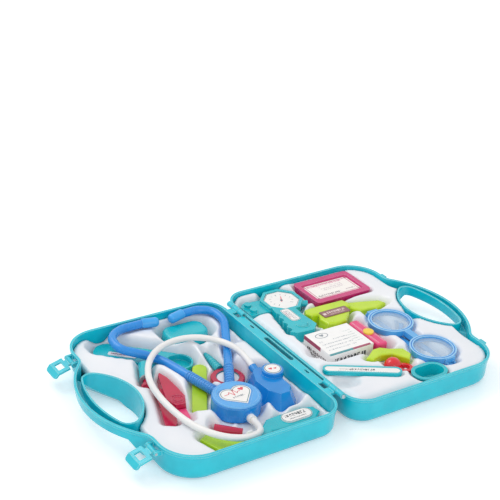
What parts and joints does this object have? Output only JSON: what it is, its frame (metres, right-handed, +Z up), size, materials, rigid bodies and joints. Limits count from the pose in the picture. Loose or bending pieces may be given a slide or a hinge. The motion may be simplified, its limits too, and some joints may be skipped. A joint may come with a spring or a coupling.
{
  "type": "toy doctor case",
  "caption": "Hinged turquoise toy doctor case lying open flat, with moulded trays, a stethoscope with a white hose, and play instruments.",
  "frame": {"origin": "on the resting plane, under the middle of the lid hinge's axis", "axes": "+X from the hinge towards the base half's handle, +Y along the hinge, +Z up"},
  "size_m": [0.511, 0.28, 0.0356],
  "materials": {
    "case": "semi-gloss moulded",
    "tray": "smooth vacuum-formed",
    "pin": "bright pins",
    "label": null,
    "blue": "glossy",
    "light_blue": "glossy",
    "white": "glossy",
    "red": "glossy",
    "teal": "glossy",
    "magenta": "glossy",
    "pink": "glossy",
    "lime": "glossy",
    "grey": "satin",
    "hose": "smooth soft hose",
    "card": "printed board",
    "print": "plain printed plate",
    "lens": "clear tinted",
    "maroon": "satin",
    "yellow": "glossy"
  },
  "bodies": {
    "base": {"base_shell": "case", "base_tray": "tray", "hinge_pins": "pin"},
    "lid": {"lid_shell": "case", "lid_tray": "tray", "lid_label": "label", "latch_pins": "pin"},
    "latch_near": {"latch_near": "case"},
    "latch_far": {"latch_far": "case"},
    "stethoscope": {"stethoscope_drum": "blue", "stethoscope_cap": "light_blue", "stethoscope_heart_plate": "print", "ear_arm_left": "blue", "ear_arm_right": "blue", "ear_tips": "blue", "hose_plug": "white", "hose": "hose", "chest_bell": "blue", "chest_badge": "print"},
    "ear_scope": {"ear_scope": "teal", "ear_scope_plate": "print"},
    "medicine_cup": {"medicine_cup": "teal"},
    "syringe": {"syringe_barrel": "teal", "syringe_collar": "grey"},
    "plunger": {"syringe_plunger": "red"},
    "tweezers": {"tweezers": "red", "tweezer_tail": "pink"},
    "tongue_stick": {"tongue_stick": "lime"},
    "hand_mirror": {"mirror_frame": "red", "mirror_glass": "white", "mirror_stalk": "teal"},
    "probe": {"probe": "teal", "probe_plate": "print"},
    "lime_pad": {"lime_pad": "lime"},
    "dropper": {"dropper": "red"},
    "gauge": {"gauge": "teal", "gauge_dial": "print", "gauge_plate": "print"},
    "board": {"board_frame": "magenta", "board_card": "card"},
    "torch": {"torch": "lime", "torch_plate": "maroon"},
    "carton": {"carton": "card"},
    "bandage_roll": {"bandage_roll": "pink", "roll_cap": "yellow"},
    "spatula": {"spatula": "lime"},
    "whistle": {"whistle": "red"},
    "thermometer": {"thermometer": "teal", "thermometer_scale": "print"},
    "kidney_dish": {"kidney_dish": "teal"},
    "glasses": {"glasses_front": "blue", "glasses_lenses": "lens", "temple_pins": "pin"},
    "temple_far": {"temple_far": "blue"},
    "temple_near": {"temple_near": "blue"}
  },
  "joints": [
    {"name": "lid_hinge", "type": "hinge", "parent": "base", "child": "lid", "pos_m": [0, 0, 0.032], "axis": [0, -1, 0], "range_deg": [-180, 0]},
    {"name": "latch_near_pivot", "type": "hinge", "parent": "lid", "child": "latch_near", "pos_m": [-0.2265, -0.096, 0.025], "axis": [0, -1, 0], "range_deg": [-106, 0]},
    {"name": "latch_far_pivot", "type": "hinge", "parent": "lid", "child": "latch_far", "pos_m": [-0.2265, 0.096, 0.025], "axis": [0, -1, 0], "range_deg": [-106, 0]},
    {"name": "stethoscope_lift", "type": "slide", "parent": "lid", "child": "stethoscope", "axis": [0, 0, 1], "range_m": [0, 0.1]},
    {"name": "ear_scope_lift", "type": "slide", "parent": "lid", "child": "ear_scope", "axis": [0, 0, 1], "range_m": [0, 0.05]},
    {"name": "medicine_cup_lift", "type": "slide", "parent": "lid", "child": "medicine_cup", "axis": [0, 0, 1], "range_m": [0, 0.05]},
    {"name": "syringe_lift", "type": "slide", "parent": "lid", "child": "syringe", "axis": [0, 0, 1], "range_m": [0, 0.05]},
    {"name": "tweezers_lift", "type": "slide", "parent": "lid", "child": "tweezers", "axis": [0, 0, 1], "range_m": [0, 0.05]},
    {"name": "tongue_stick_lift", "type": "slide", "parent": "lid", "child": "tongue_stick", "axis": [0, 0, 1], "range_m": [0, 0.05]},
    {"name": "hand_mirror_lift", "type": "slide", "parent": "lid", "child": "hand_mirror", "axis": [0, 0, 1], "range_m": [0, 0.05]},
    {"name": "probe_lift", "type": "slide", "parent": "lid", "child": "probe", "axis": [0, 0, 1], "range_m": [0, 0.05]},
    {"name": "lime_pad_lift", "type": "slide", "parent": "lid", "child": "lime_pad", "axis": [0, 0, 1], "range_m": [0, 0.05]},
    {"name": "dropper_lift", "type": "slide", "parent": "lid", "child": "dropper", "axis": [0, 0, 1], "range_m": [0, 0.05]},
    {"name": "plunger_push", "type": "slide", "parent": "syringe", "child": "plunger", "axis": [0.4052, 0.9142, 0], "range_m": [0, 0.0095]},
    {"name": "gauge_lift", "type": "slide", "parent": "base", "child": "gauge", "axis": [0, 0, 1], "range_m": [0, 0.06]},
    {"name": "board_lift", "type": "slide", "parent": "base", "child": "board", "axis": [0, 0, 1], "range_m": [0, 0.06]},
    {"name": "torch_lift", "type": "slide", "parent": "base", "child": "torch", "axis": [0, 0, 1], "range_m": [0, 0.06]},
    {"name": "carton_lift", "type": "slide", "parent": "base", "child": "carton", "axis": [0, 0, 1], "range_m": [0, 0.06]},
    {"name": "bandage_roll_lift", "type": "slide", "parent": "base", "child": "bandage_roll", "axis": [0, 0, 1], "range_m": [0, 0.06]},
    {"name": "spatula_lift", "type": "slide", "parent": "base", "child": "spatula", "axis": [0, 0, 1], "range_m": [0, 0.06]},
    {"name": "whistle_lift", "type": "slide", "parent": "base", "child": "whistle", "axis": [0, 0, 1], "range_m": [0, 0.06]},
    {"name": "thermometer_lift", "type": "slide", "parent": "base", "child": "thermometer", "axis": [0, 0, 1], "range_m": [0, 0.06]},
    {"name": "kidney_dish_lift", "type": "slide", "parent": "base", "child": "kidney_dish", "axis": [0, 0, 1], "range_m": [0, 0.06]},
    {"name": "glasses_lift", "type": "slide", "parent": "base", "child": "glasses", "axis": [0, 0, 1], "range_m": [0, 0.18]},
    {"name": "temple_far_fold", "type": "hinge", "parent": "glasses", "child": "temple_far", "pos_m": [0.1535, 0.026, 0.0184], "axis": [1, 0, 0], "range_deg": [0, 90.5]},
    {"name": "temple_near_fold", "type": "hinge", "parent": "glasses", "child": "temple_near", "pos_m": [0.1655, -0.109, 0.0184], "axis": [-1, 0, 0], "range_deg": [0, 90.5]}
  ],
  "couplings": [
    {"joint": "ear_scope_lift", "follows": "stethoscope_lift", "ratio": 0.5},
    {"joint": "medicine_cup_lift", "follows": "stethoscope_lift", "ratio": 0.5},
    {"joint": "syringe_lift", "follows": "stethoscope_lift", "ratio": 0.5},
    {"joint": "tweezers_lift", "follows": "stethoscope_lift", "ratio": 0.5},
    {"joint": "tongue_stick_lift", "follows": "stethoscope_lift", "ratio": 0.5},
    {"joint": "hand_mirror_lift", "follows": "stethoscope_lift", "ratio": 0.5},
    {"joint": "probe_lift", "follows": "stethoscope_lift", "ratio": 0.5},
    {"joint": "lime_pad_lift", "follows": "stethoscope_lift", "ratio": 0.5},
    {"joint": "dropper_lift", "follows": "stethoscope_lift", "ratio": 0.5},
    {"joint": "temple_far_fold", "follows": "glasses_lift", "rad_per_m": 8.7266},
    {"joint": "temple_near_fold", "follows": "glasses_lift", "rad_per_m": 8.7266}
  ]
}
